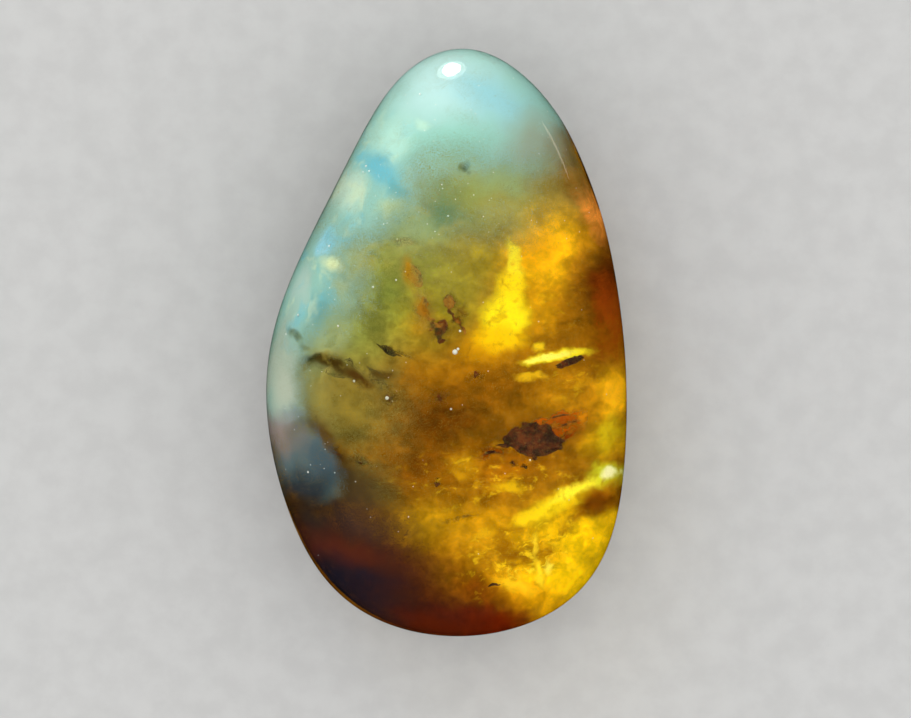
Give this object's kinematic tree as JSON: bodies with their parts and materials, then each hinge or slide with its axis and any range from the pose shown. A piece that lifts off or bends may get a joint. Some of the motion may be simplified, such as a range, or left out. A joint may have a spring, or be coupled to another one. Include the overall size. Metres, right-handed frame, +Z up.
{
  "type": "polished amber pebble",
  "caption": "Egg-shaped polished amber, lying on its flattened back, milky at the narrow end and clear honey at the broad end, with bark and plant debris sealed inside.",
  "frame": {"origin": "middle of the stone's footprint, on the surface that it lies on", "axes": "+Y along the stone towards its narrow end, +Z up through its front face, +X to the right seen from the front with the narrow end up"},
  "size_m": [0.0184, 0.03, 0.0122],
  "materials": {
    "amber": "hand-polished fossil resin, clear honey with milky blue-green clouds",
    "bark": "dark crumbling bark",
    "rotten_wood": "reddish brown rotten wood",
    "plant_matter": "dark olive plant debris"
  },
  "bodies": {
    "root": {"amber_front": "amber", "amber_back": "amber", "bark_flake": "bark", "bark_splinter": "bark", "wood_crumb_1": "rotten_wood", "wood_crumb_2": "rotten_wood", "wood_crumb_3": "rotten_wood", "plant_debris_1": "plant_matter", "plant_debris_2": "plant_matter", "plant_debris_3": "plant_matter"}
  },
  "joints": []
}
